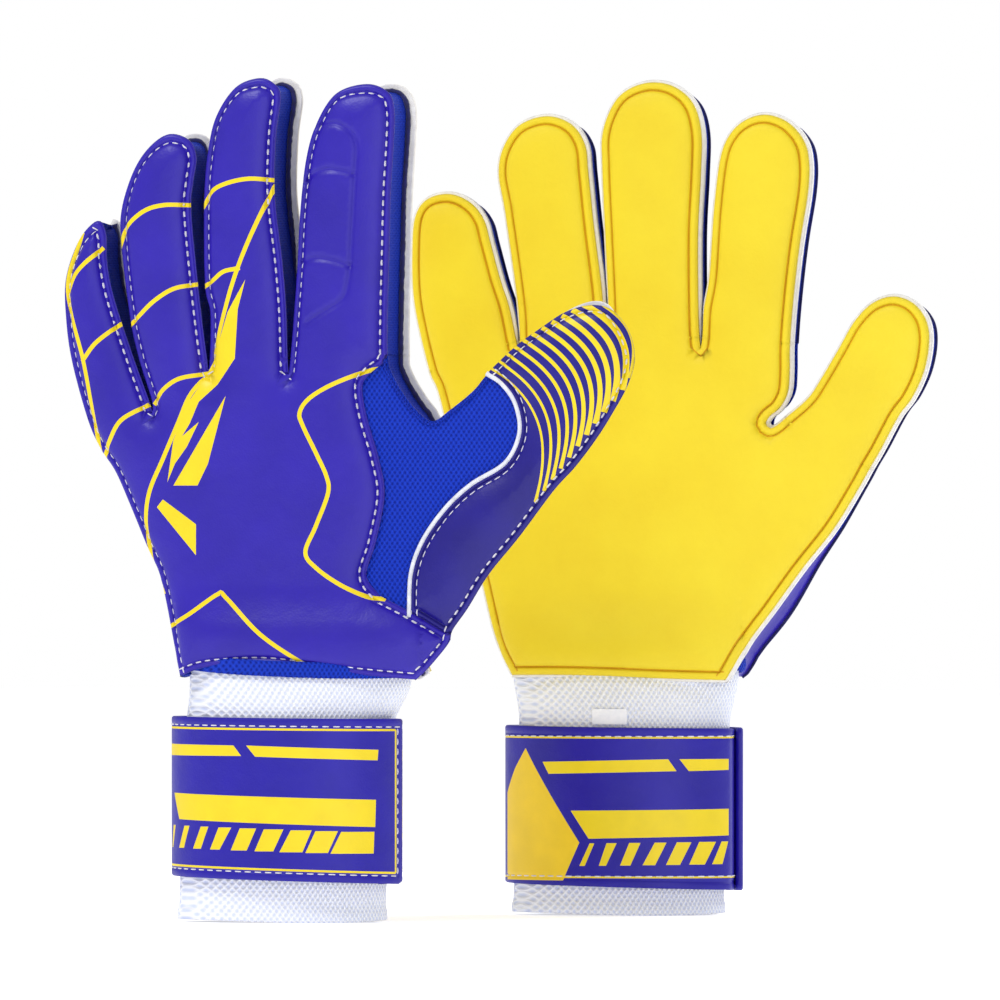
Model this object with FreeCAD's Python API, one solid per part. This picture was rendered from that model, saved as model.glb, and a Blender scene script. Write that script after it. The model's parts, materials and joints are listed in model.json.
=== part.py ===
"""A pair of goalkeeper gloves, standing on their cuffs with the fingers up.

The left-hand glove stands in front (towards -Y) and shows its back; the right-hand glove
stands behind it and shows its palm. Each glove is drawn in its own frame: u to the thumb
side, v up from the hand's lower edge, and w through the glove, from the palm surface to the back.
Sizes are millimetres.
"""

import FreeCAD, Part

import math
import os

from FreeCAD import Vector

# ---------------------------------------------------------------- driving dimensions
GLOVE_SPACING = 140.0  # between the middle planes of the two gloves
GLOVE_THICKNESS = 26.0  # palm surface to back surface
PALM_SHEET = 6.0  # latex foam with its white backing
BACK_SHEET = 5.0  # padded back panel
MESH_SHEET = 3.0  # air mesh in the back of the hand
GUSSET_WALL = 1.5
GUSSET_SLOPE = 1.0  # how far the palm sheet stands out past the back, on each side
BACK_BEVEL = 1.6  # rounding of the back panel's rim
SEAM_GAP = 0.6  # between panels that are sewn side by side
TIP_RISE = 0.46  # height of a fingertip's round end, over its width

HINGE_DEPTH = 1.0  # of a finger's bending line under the palm surface
PALM_HALF_GAP = 1.5  # from the bending line to the palm sheet, on either side
BACK_HALF_GAP = 3.0  # from the bending line to a finger's gusset and back

CUFF_HALF_WIDTH = 33.5
CUFF_HALF_DEPTH = 20.0
CUFF_WALL = 2.5
LEFT_STRAP_BOTTOM = 12.5
RIGHT_STRAP_BOTTOM = 8.0
STRAP_HEIGHT = 53.0
SLEEVE_OVER_STRAP = 3.5  # how far the sleeve shows over the higher strap
WRIST_GAP = 9.5  # from the sleeve's top to the hand, bridged by bare elastic
CUFF_TOP = max(LEFT_STRAP_BOTTOM, RIGHT_STRAP_BOTTOM) + STRAP_HEIGHT + SLEEVE_OVER_STRAP
HAND_BOTTOM = CUFF_TOP + WRIST_GAP
HEM_HEIGHT = 10.0
HEM_THICKNESS = 1.2

STRAP_THICKNESS = 2.5
STRAP_LIFT = 2.0  # the flap's inner face over the sleeve: loop and hook lie between
LOOP_THICKNESS = 0.8
HOOK_THICKNESS = 0.9
WRAP_THICKNESS = 1.8
FLAP_REACH = 34.0  # from the cuff's middle to the flap's free end
FLAP_CORNER = 9.0
FLAP_CLEARANCE = 1.0  # between the flap's hinged edge and the wrap
LABEL_SIZE = (13.0, 0.6, 5.0)


class Finger:
    """One finger of a glove: where it bends, where it points and how wide it is."""

    def __init__(self, name, root, lean, length, root_width, tip_width, skew):
        self.name = name
        self.root = root
        self.lean = math.radians(lean)
        self.length = length
        self.root_width = root_width
        self.tip_width = tip_width
        self.skew = skew

    def at(self, across, along):
        """The (u, v) point this far across and along the finger from its bending line."""
        c, s = math.cos(self.lean), math.sin(self.lean)
        return (
            self.root[0] + across * c + along * s,
            self.root[1] - across * s + along * c,
        )


class Glove:
    """A glove's place, which way its back faces, and its outlines."""

    def __init__(self, name, place, back_side, strap_bottom, fingers, sides, seams):
        self.name = name
        self.place = place
        self.back_side = back_side
        self.strap_bottom = strap_bottom
        self.fingers = fingers
        self.ulnar, self.web, self.radial = sides
        self.back_seam, self.mesh_seam = seams
        self.middle_y = back_side * GLOVE_SPACING / 2

    def point(self, u, v, w):
        y = self.middle_y + self.back_side * (w - GLOVE_THICKNESS / 2)
        return Vector(self.place + u, y, HAND_BOTTOM + v)


# Sides: outlines up the little-finger side, round the web, and down the thumb side.
# Seams: where the back panel meets the mesh, and the mesh meets the thumb's base.
# Fingers: bending point (u, v), lean to the thumb side in degrees, length past the bend,
# palm-sheet width at the bend and near the tip, and the tip's shift to the thumb side.
LEFT = Glove(
    name="left",
    place=-53.6,
    back_side=-1,
    strap_bottom=LEFT_STRAP_BOTTOM,
    fingers=[
        Finger("pinky", (-55.5, 86.5), -12.0, 61.0, 17.5, 17.0, 2.0),
        Finger("ring", (-36.3, 94.5), -6.5, 81.5, 20.5, 20.5, 4.0),
        Finger("middle", (-13.1, 99.1), -1.5, 94.9, 24.0, 24.0, 4.0),
        Finger("index", (16.5, 101.1), 2.8, 91.0, 31.0, 29.0, 4.0),
        Finger("thumb", (75.5, 81.9), 48.0, 50.0, 36.0, 28.0, 0.0),
    ],
    sides=(
        [(-35.6, 0.0), (-40.5, 24.5), (-52.5, 56.0), (-62.0, 74.5)],
        [(37.0, 88.5), (47.0, 83.5)],
        [(86.5, 58.8), (66.5, 33.5), (53.5, 15.5), (45.0, 0.0)],
    ),
    seams=(
        [(27.5, 93.5), (35.0, 59.0), (28.5, 29.5), (31.5, 0.0)],
        [(72.5, 71.0), (48.0, 50.5), (43.0, 25.0), (42.5, 0.0)],
    ),
)
RIGHT = Glove(
    name="right",
    place=20.4,
    back_side=1,
    strap_bottom=RIGHT_STRAP_BOTTOM,
    fingers=[
        Finger("pinky", (-46.3, 102.9), -10.0, 55.0, 30.0, 26.0, 2.0),
        Finger("ring", (-15.4, 107.7), -7.0, 75.5, 28.0, 27.5, 1.0),
        Finger("middle", (14.8, 108.2), 0.0, 85.5, 29.5, 29.5, 0.0),
        Finger("index", (45.6, 105.5), 5.5, 78.0, 28.0, 28.5, 0.0),
        Finger("thumb", (72.6, 75.4), 30.4, 54.0, 32.0, 27.0, 0.0),
    ],
    sides=(
        [(-32.5, 0.0), (-38.0, 11.5), (-43.0, 31.0), (-57.2, 90.5)],
        [(56.5, 82.5)],
        [(83.5, 61.4), (64.5, 34.8), (47.0, 11.0), (41.0, 0.0)],
    ),
    seams=(
        [(50.5, 93.5), (46.0, 59.0), (36.0, 29.5), (29.0, 0.0)],
        [(71.0, 61.5), (57.0, 46.5), (45.0, 25.0), (38.5, 0.0)],
    ),
)


# ---------------------------------------------------------------- shapes
def write(glove, part, shape):
    """Export one sub-part of a glove as its own node."""
    shape.exportStep(f"parts/{glove.name}_{part}.step")


def wire_of(glove, outline, w):
    """A closed wire of straight edges through (u, v) points at depth w."""
    corners = [glove.point(u, v, w) for u, v in outline]
    return Part.makePolygon(corners + corners[:1])


def plate(glove, outline, w_low, w_high):
    """A flat sheet with this outline, from depth w_low to w_high."""
    face = Part.Face(wire_of(glove, outline, w_low))
    return face.extrude(Vector(0, glove.back_side * (w_high - w_low), 0))


def ribbon(glove, route, width, w_low, w_high):
    """A thin standing wall along a route of (u, v) points, on the route's left side."""
    inner = []
    for i, here in enumerate(route):
        before = route[max(i - 1, 0)]
        after = route[min(i + 1, len(route) - 1)]
        du, dv = after[0] - before[0], after[1] - before[1]
        length = math.hypot(du, dv)
        inner.append((here[0] - dv / length * width, here[1] + du / length * width))
    return plate(glove, route + inner[::-1], w_low, w_high)


def finger_wire(glove, finger, w, inset, start, trim=0.0):
    """A finger's outline at depth w, drawn in from the palm sheet's outline by inset."""
    half_root = finger.root_width / 2 - inset
    half_tip = finger.tip_width / 2 - inset
    end = finger.length - inset - trim
    shoulder = end - 2 * half_tip * TIP_RISE
    skew = finger.skew
    places = [
        (-half_root, start),
        (half_root, start),
        (half_tip + skew / 2, shoulder),
        (skew, end),
        (-half_tip + skew / 2, shoulder),
    ]
    low_left, low_right, high_right, tip, high_left = [
        glove.point(*finger.at(*place), w) for place in places
    ]
    edges = [
        Part.makeLine(low_left, low_right),
        Part.makeLine(low_right, high_right),
        Part.Arc(high_right, tip, high_left).toShape(),
        Part.makeLine(high_left, low_left),
    ]
    return Part.Wire(edges)


# ---------------------------------------------------------------- fingers
def finger_palm(glove, finger):
    """Latex palm side of a finger."""
    face = Part.Face(finger_wire(glove, finger, 0, 0, PALM_HALF_GAP))
    return face.extrude(Vector(0, glove.back_side * PALM_SHEET, 0))


def finger_gusset(glove, finger):
    """Side wall of a finger: it runs up one side, over the tip and down the other."""
    low = PALM_SHEET
    high = GLOVE_THICKNESS - BACK_SHEET
    outer = Part.makeLoft(
        [
            finger_wire(glove, finger, low, 0, BACK_HALF_GAP),
            finger_wire(glove, finger, high, GUSSET_SLOPE, BACK_HALF_GAP),
        ],
        True,
        True,
    )
    past = 1.0  # the hollow's cutter runs this far past both faces
    below = BACK_HALF_GAP - 2 * past
    hollow = Part.makeLoft(
        [
            finger_wire(glove, finger, low - past, GUSSET_WALL, below),
            finger_wire(glove, finger, high + past, GUSSET_SLOPE + GUSSET_WALL, below),
        ],
        True,
        True,
    )
    return outer.cut(hollow)


def finger_back(glove, finger):
    """Padded back of a finger, with a bevelled rim."""
    low = GLOVE_THICKNESS - BACK_SHEET
    rim = GLOVE_THICKNESS - BACK_BEVEL
    layers = [(low, 0.0), (rim, 0.0), (GLOVE_THICKNESS, BACK_BEVEL)]
    wires = [
        finger_wire(glove, finger, w, GUSSET_SLOPE + bevel, BACK_HALF_GAP)
        for w, bevel in layers
    ]
    return Part.makeLoft(wires, True, True)


def make_fingers(glove):
    for finger in glove.fingers:
        write(glove, f"{finger.name}_palm", finger_palm(glove, finger))
        write(glove, f"{finger.name}_gusset", finger_gusset(glove, finger))
        write(glove, f"{finger.name}_back", finger_back(glove, finger))


# ---------------------------------------------------------------- hand
def knuckle_line(glove):
    """The hand's edge under the four fingers and the thumb, from pinky to thumb."""
    line = []
    for finger in glove.fingers:
        half = finger.root_width / 2
        if finger.name == "thumb":
            line += glove.web
        line.append(finger.at(-half, -PALM_HALF_GAP))
        line.append(finger.at(half, -PALM_HALF_GAP))
    return line


def hand_outline(glove):
    return glove.ulnar + knuckle_line(glove) + glove.radial


def palm_panel(glove):
    """Latex palm of the hand, one sheet from the wrist to the knuckles."""
    return plate(glove, hand_outline(glove), 0, PALM_SHEET)


def cut_to(glove, route, keep_left, shape):
    """The part of a shape on one side of a seam, with half the seam gap left open."""
    reach = 300.0
    side = -1 if keep_left else 1
    shifted = [(u + side * SEAM_GAP / 2, v) for u, v in route]
    top = (shifted[0][0], reach)
    bottom = (shifted[-1][0], -reach)
    corners = [top] + shifted + [bottom, (side * reach, -reach), (side * reach, reach)]
    depth = 2 * GLOVE_THICKNESS
    return shape.common(plate(glove, corners, -depth, depth))


def back_panels(glove):
    """The back of the hand: a padded panel, a mesh window and the thumb's base."""
    low = GLOVE_THICKNESS - BACK_SHEET
    full = plate(glove, hand_outline(glove), low, GLOVE_THICKNESS)
    thin = plate(glove, hand_outline(glove), low, low + MESH_SHEET)
    mesh = cut_to(glove, glove.back_seam, False, thin)
    return {
        "back_panel": cut_to(glove, glove.back_seam, True, full),
        "mesh_panel": cut_to(glove, glove.mesh_seam, True, mesh),
        "thumb_base_panel": cut_to(glove, glove.mesh_seam, False, full),
    }


def hem_band(glove):
    """Band sewn on the lower edge of the hand's back."""
    left, right = glove.ulnar[0], glove.radial[-1]
    rise = left[1] + HEM_HEIGHT
    slope_left = (glove.ulnar[1][0] - left[0]) / (glove.ulnar[1][1] - left[1])
    slope_right = (glove.radial[-2][0] - right[0]) / (glove.radial[-2][1] - right[1])
    corners = [
        left,
        right,
        (right[0] + slope_right * HEM_HEIGHT, rise),
        (left[0] + slope_left * HEM_HEIGHT, rise),
    ]
    return plate(glove, corners, GLOVE_THICKNESS, GLOVE_THICKNESS + HEM_THICKNESS)


def hand_gussets(glove):
    """Side walls of the hand: little-finger side, web, and thumb side."""
    low = PALM_SHEET
    high = GLOVE_THICKNESS - BACK_SHEET
    line = knuckle_line(glove)
    index_end = line[-3 - len(glove.web)]
    thumb_start, thumb_end = line[-2:]
    routes = {
        "ulnar_gusset": (glove.ulnar + line[:1])[::-1],
        "web_gusset": [thumb_start] + glove.web[::-1] + [index_end],
        "radial_gusset": ([thumb_end] + glove.radial)[::-1],
    }
    return {
        part: ribbon(glove, route, GUSSET_WALL, low, high)
        for part, route in routes.items()
    }


def make_hand(glove):
    write(glove, "palm_panel", palm_panel(glove))
    write(glove, "hem_band", hem_band(glove))
    for part, shape in {**back_panels(glove), **hand_gussets(glove)}.items():
        write(glove, part, shape)


# ---------------------------------------------------------------- cuff and strap
def band(glove, lift, thickness, low, high):
    """A ring around the cuff, from lift over the sleeve's surface outwards."""
    centre = Vector(glove.place, glove.middle_y, low)

    def disc(extra):
        ellipse = Part.Ellipse(centre, CUFF_HALF_WIDTH + extra, CUFF_HALF_DEPTH + extra)
        return Part.Face(Part.Wire(ellipse.toShape()))

    ring = disc(lift + thickness).cut(disc(lift))
    return ring.extrude(Vector(0, 0, high - low))


def back_half(glove, left, right, low, high, clear):
    """A box over the back side of the cuff, this clear of the cuff's middle plane."""
    depth = 3 * CUFF_HALF_DEPTH
    y = glove.middle_y + clear if glove.back_side > 0 else glove.middle_y - clear - depth
    corner = Vector(glove.place + left, y, low)
    return Part.makeBox(right - left, depth, high - low, corner)


def cuff_sleeve(glove):
    """Elastic sleeve that the glove stands on."""
    return band(glove, -CUFF_WALL, CUFF_WALL, 0, CUFF_TOP)


def strap_wrap(glove):
    """The sewn part of the strap: over the palm side and round the thumb side."""
    low, high = glove.strap_bottom, glove.strap_bottom + STRAP_HEIGHT
    ring = band(glove, 0, WRAP_THICKNESS, low, high)
    reach = 2 * CUFF_HALF_WIDTH
    open_side = back_half(glove, -reach, 0.8 * CUFF_HALF_WIDTH, low, high, 0)
    return ring.cut(open_side)


def strap_flap(glove):
    """The free part of the strap: over the back, from the little-finger side."""
    low, high = glove.strap_bottom, glove.strap_bottom + STRAP_HEIGHT
    ring = band(glove, STRAP_LIFT, STRAP_THICKNESS, low, high)
    reach = 2 * CUFF_HALF_WIDTH
    box = back_half(glove, -reach, FLAP_REACH, low, high, FLAP_CLEARANCE)
    free_edges = [
        edge
        for edge in box.Edges
        if edge.Length < 4 * CUFF_HALF_DEPTH
        and all(abs(v.X - glove.place - FLAP_REACH) < 0.01 for v in edge.Vertexes)
        and abs(edge.Vertexes[0].Z - edge.Vertexes[1].Z) < 0.01
    ]
    return ring.common(box.makeFillet(FLAP_CORNER, free_edges))


def patch(glove, lift, thickness, left, right):
    """A fastener patch on the back side of the cuff, a little shorter than the strap."""
    border = 4.0
    low = glove.strap_bottom + border
    high = glove.strap_bottom + STRAP_HEIGHT - border
    ring = band(glove, lift, thickness, low, high)
    clear = CUFF_HALF_DEPTH / 2
    return ring.common(back_half(glove, left, right, low, high, clear))


def make_cuff(glove):
    hook_lift = STRAP_LIFT - HOOK_THICKNESS
    write(glove, "cuff_sleeve", cuff_sleeve(glove))
    write(glove, "strap_wrap", strap_wrap(glove))
    write(glove, "strap_flap", strap_flap(glove))
    write(glove, "loop_patch", patch(glove, 0, LOOP_THICKNESS, -26.0, 24.0))
    write(glove, "hook_patch", patch(glove, hook_lift, HOOK_THICKNESS, -4.0, 24.0))


def size_label(glove):
    """Blank size label on the palm side of the sleeve, over the strap."""
    width, thickness, height = LABEL_SIZE
    y = glove.middle_y - glove.back_side * CUFF_HALF_DEPTH
    strap_top = glove.strap_bottom + STRAP_HEIGHT
    low = (strap_top + CUFF_TOP - height) / 2
    corner = Vector(glove.place - width / 2, y - thickness / 2, low)
    box = Part.makeBox(width, thickness * 2, height, corner)
    sleeve = band(glove, -CUFF_WALL, CUFF_WALL, 0, CUFF_TOP)
    return box.cut(sleeve).Solids[0]


os.makedirs("parts", exist_ok=True)
for glove in (LEFT, RIGHT):
    make_fingers(glove)
    make_hand(glove)
    make_cuff(glove)
write(RIGHT, "size_label", size_label(RIGHT))
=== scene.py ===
import json
import math

import bpy
import numpy as np
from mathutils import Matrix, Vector, geometry
from mathutils.bvhtree import BVHTree


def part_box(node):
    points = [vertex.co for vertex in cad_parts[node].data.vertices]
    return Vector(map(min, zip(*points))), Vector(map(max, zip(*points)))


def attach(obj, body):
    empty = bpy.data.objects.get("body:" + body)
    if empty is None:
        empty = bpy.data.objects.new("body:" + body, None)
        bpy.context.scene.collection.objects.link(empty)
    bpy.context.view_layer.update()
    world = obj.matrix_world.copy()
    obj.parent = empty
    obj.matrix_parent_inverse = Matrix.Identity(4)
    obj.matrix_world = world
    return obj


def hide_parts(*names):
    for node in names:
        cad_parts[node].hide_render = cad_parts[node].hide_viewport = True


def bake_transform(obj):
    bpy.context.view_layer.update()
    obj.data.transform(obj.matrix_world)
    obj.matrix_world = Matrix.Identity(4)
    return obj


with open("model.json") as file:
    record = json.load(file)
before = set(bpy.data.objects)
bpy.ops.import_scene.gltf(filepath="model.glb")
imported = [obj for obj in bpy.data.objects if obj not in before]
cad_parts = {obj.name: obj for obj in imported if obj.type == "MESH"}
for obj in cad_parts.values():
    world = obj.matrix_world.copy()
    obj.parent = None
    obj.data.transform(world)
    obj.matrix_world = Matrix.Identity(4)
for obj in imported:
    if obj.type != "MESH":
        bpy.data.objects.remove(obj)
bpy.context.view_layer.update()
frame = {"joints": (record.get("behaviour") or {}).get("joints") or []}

# ---------------------------------------------------------------- palm foam
# The catching face: a sheet of matt yellow latex foam on each finger, the thumb and the palm,
# cut to the glove's outline. A line of stitching 2.7 mm inside its edge pulls it down to the
# layers below, so it stands in a soft roll along its edge and swells a little inside it.

# A glove is cut flat: u runs to its thumb side, v up from the floor and w through it, from
# the palm surface to the back, all in millimetres. These outlines run up the little-finger
# side, round the fingers and down the thumb side. A finger's part begins and ends at its bend.
MM = 0.001
FINGERS = ("pinky", "ring", "middle", "index", "thumb")
OUTLINES = {
    "left": {
        "ulnar": [(-35.5, 79.5), (-37.5, 87.5), (-40.5, 103), (-43, 113), (-47, 121.5),
                  (-52.5, 134.5), (-57.5, 145.5), (-62.5, 153)],
        "pinky": [(-66.8, 162.5), (-72, 181), (-74, 195), (-74, 208), (-69.5, 220.5),
                  (-63.5, 226.5), (-60.7, 222.5), (-60.3, 213), (-58, 201.5), (-51.4, 182),
                  (-46.2, 168)],
        "pinky_crotch": [(-45.3, 164.5)],
        "ring": [(-45.4, 168.5), (-49.7, 182), (-52.6, 195), (-55.5, 218.5), (-55.5, 230),
                 (-51.5, 242.5), (-46, 250.5), (-39.5, 254.5), (-33, 252.5), (-30.5, 247),
                 (-31.5, 239.5), (-32.3, 230), (-30.2, 207.5), (-28.4, 192), (-27, 181.5)],
        "ring_crotch": [(-26.6, 177.8)],
        "middle": [(-26.1, 181.5), (-25.9, 196.5), (-27.7, 206), (-28, 232), (-26.8, 248),
                   (-24, 260), (-17.5, 269.5), (-9.5, 272.5), (-4.5, 270.5), (-2.5, 266.5),
                   (-4, 254.5), (-4.6, 239.5), (-4, 229.5), (-2, 213.5), (-0.7, 198),
                   (-0.2, 182)],
        "middle_crotch": [(0.2, 177)],
        "index": [(0.7, 182), (1.6, 192), (3, 211), (4, 229.5), (6, 246.5), (9.5, 258),
                  (16, 267.5), (26, 270.5), (33, 268), (35.2, 262.5), (35, 252),
                  (34, 235.5), (33.5, 217), (33, 198), (32.9, 183)],
        "web": [(33.5, 178.5), (37, 172), (42, 165.5), (47.5, 161.8), (53.5, 165.5),
                (61, 171.5)],
        "thumb": [(66, 177.2), (75.5, 186), (84, 192), (92, 197), (100.5, 199.2),
                  (107.5, 197.5), (113, 190.5), (114.8, 182), (112.5, 173.5),
                  (107.5, 164.5), (102, 156), (95, 147), (88, 139.5)],
        "radial": [(76.5, 124.5), (66.5, 112.5), (59.5, 101.5), (54.5, 94.5),
                   (53.3, 90.5), (48.5, 84.5), (43, 78.5)],
        "hem": [(31.5, 79.5), (12, 81.5), (-6, 83.5), (-25.5, 82.5)],
    },
    "right": {
        "ulnar": [(-32, 78.5), (-38, 90), (-43, 109.5), (-50, 139.5), (-57, 169)],
        "pinky": [(-60.4, 177.5), (-64, 191.5), (-66, 203), (-66.4, 216), (-65.5, 228),
                  (-61.5, 234), (-54, 235.8), (-47, 233), (-42.5, 227.5), (-40.3, 220),
                  (-37, 208), (-34, 199), (-31.5, 187.5)],
        "pinky_crotch": [(-30.9, 184.8)],
        "ring": [(-30.2, 188), (-31, 201), (-35, 229), (-37.3, 242.5), (-35.5, 251.5),
                 (-30, 258.5), (-21, 261.2), (-13, 258.5), (-8.5, 252), (-7.3, 242.5),
                 (-5.5, 225.5), (-2.8, 204.5), (-1.8, 190.5)],
        "ring_crotch": [(-1.3, 187.8)],
        "middle": [(-0.7, 190.5), (-0.4, 199), (-1.5, 223), (-2.5, 245), (-2.3, 256),
                   (1.5, 265.5), (7, 270.3), (14.5, 272.2), (22, 270.5), (28, 265),
                   (30.6, 255.5), (30.4, 241.5), (29.5, 223), (29.6, 200), (30, 189)],
        "middle_crotch": [(30.5, 185.3)],
        "index": [(31.1, 189), (31.6, 198), (33.5, 209), (35, 230.5), (37.3, 248),
                  (41, 256), (46.5, 260.3), (53, 261.5), (60, 258.8), (65, 253),
                  (66.7, 246), (66.3, 236), (63.6, 219.5), (61.5, 202), (60.3, 187)],
        "web": [(60.2, 178), (59.6, 171), (57, 166), (53.6, 163.2), (52.2, 160.8),
                (53.8, 159.2), (56.3, 160.3)],
        "thumb": [(58.8, 162.4), (66.5, 169), (71, 175.5), (77, 185.5), (82, 194),
                  (88, 200), (95, 202.2), (101.5, 200), (105.8, 194.5), (106.8, 187),
                  (105, 177.5), (101, 169), (96.5, 163), (90.5, 152), (87, 146.2)],
        "radial": [(83.5, 140), (75, 126.5), (64.5, 113.5), (54.5, 100), (46.5, 89.5),
                   (41.5, 80.5), (39.5, 77)],
        "hem": [(20, 77.5), (0, 78.3), (-16, 78.6)],
    },
}
OUTLINE_STEP = 1.2


def smooth_route(points, step=OUTLINE_STEP):
    """A smooth curve through drawn points, sampled about every step."""
    points = np.array(points, float)
    ends = np.vstack([2 * points[0] - points[1], points, 2 * points[-1] - points[-2]])
    route = []
    for i in range(1, len(ends) - 2):
        before, start, stop, after = ends[i - 1 : i + 3]
        count = max(1, math.ceil(np.linalg.norm(stop - start) / step))
        t = np.arange(count)[:, None] / count
        route.append(
            start
            + t * (stop - before) / 2
            + t**2 * (before - 2.5 * start + 2 * stop - after / 2)
            + t**3 * (-before / 2 + 1.5 * start - 1.5 * stop + after / 2)
        )
    return np.vstack(route + [points[-1:]])


def straight_route(start, stop, step=OUTLINE_STEP):
    count = max(1, math.ceil(np.linalg.norm(np.subtract(stop, start)) / step))
    t = np.arange(count + 1)[:, None] / count
    return np.array(start) + t * np.subtract(stop, start)


def rightward(route, closed=False):
    """Unit normals on the right of a route: inward, as outlines run clockwise."""
    if closed:
        along = np.roll(route, -1, 0) - np.roll(route, 1, 0)
    else:
        along = np.gradient(route, axis=0)
    along = along / np.maximum(np.linalg.norm(along, axis=1), 1e-9)[:, None]
    return np.column_stack([along[:, 1], -along[:, 0]])


def segments_of(route, closed=False):
    stop = np.roll(route, -1, 0) if closed else route[1:]
    return np.stack([route[: len(stop)], stop], axis=1)


def distance(points, segments):
    """Distance from each point to the nearest of these line segments."""
    ends = segments.reshape(-1, 2)
    tier = np.ones(len(ends))
    low, high = np.column_stack([ends, -tier]), np.column_stack([ends, tier])
    n = len(ends)
    fences = [(i, i + 1, i + 1 + n, i + n) for i in range(0, n, 2)]
    tree = BVHTree.FromPolygons(low.tolist() + high.tolist(), fences)
    return np.array([tree.find_nearest((x, y, 0.0))[3] for x, y in points.tolist()])


def inside(points, outline):
    """Which points lie inside a closed outline."""
    hits = np.zeros(len(points), bool)
    x, y = points[:, 0], points[:, 1]
    for (x0, y0), (x1, y1) in segments_of(outline, True):
        crosses = (y0 > y) != (y1 > y)
        if crosses.any():
            hits ^= crosses & (x < x0 + (y - y0) * (x1 - x0) / ((y1 - y0) or 1e-9))
    return hits


def ease(x):
    x = np.clip(x, 0, 1)
    return x * x * (3 - 2 * x)


def groove(d, at, width):
    return np.exp(-(((d - at) / width) ** 2))


def nearest_index(route, point):
    return int(np.argmin(np.linalg.norm(route - np.array(point), axis=1)))


# How far the layers' edges stand out from the outline drawn, in millimetres.
BACK_DRAWN_IN = 1.4
HEEL_FLARE, HEEL_HEIGHT, HEEL_REACH = 4.2, 97, 22
PALM_BESIDE_FINGERS, PALM_BEHIND_BACK, PALM_BELOW_TIPS = 2.8, 0.6, 1.6
PALM_ABOVE_THUMB, PALM_UNDER_THUMB = 0.9, 6.6


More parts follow.
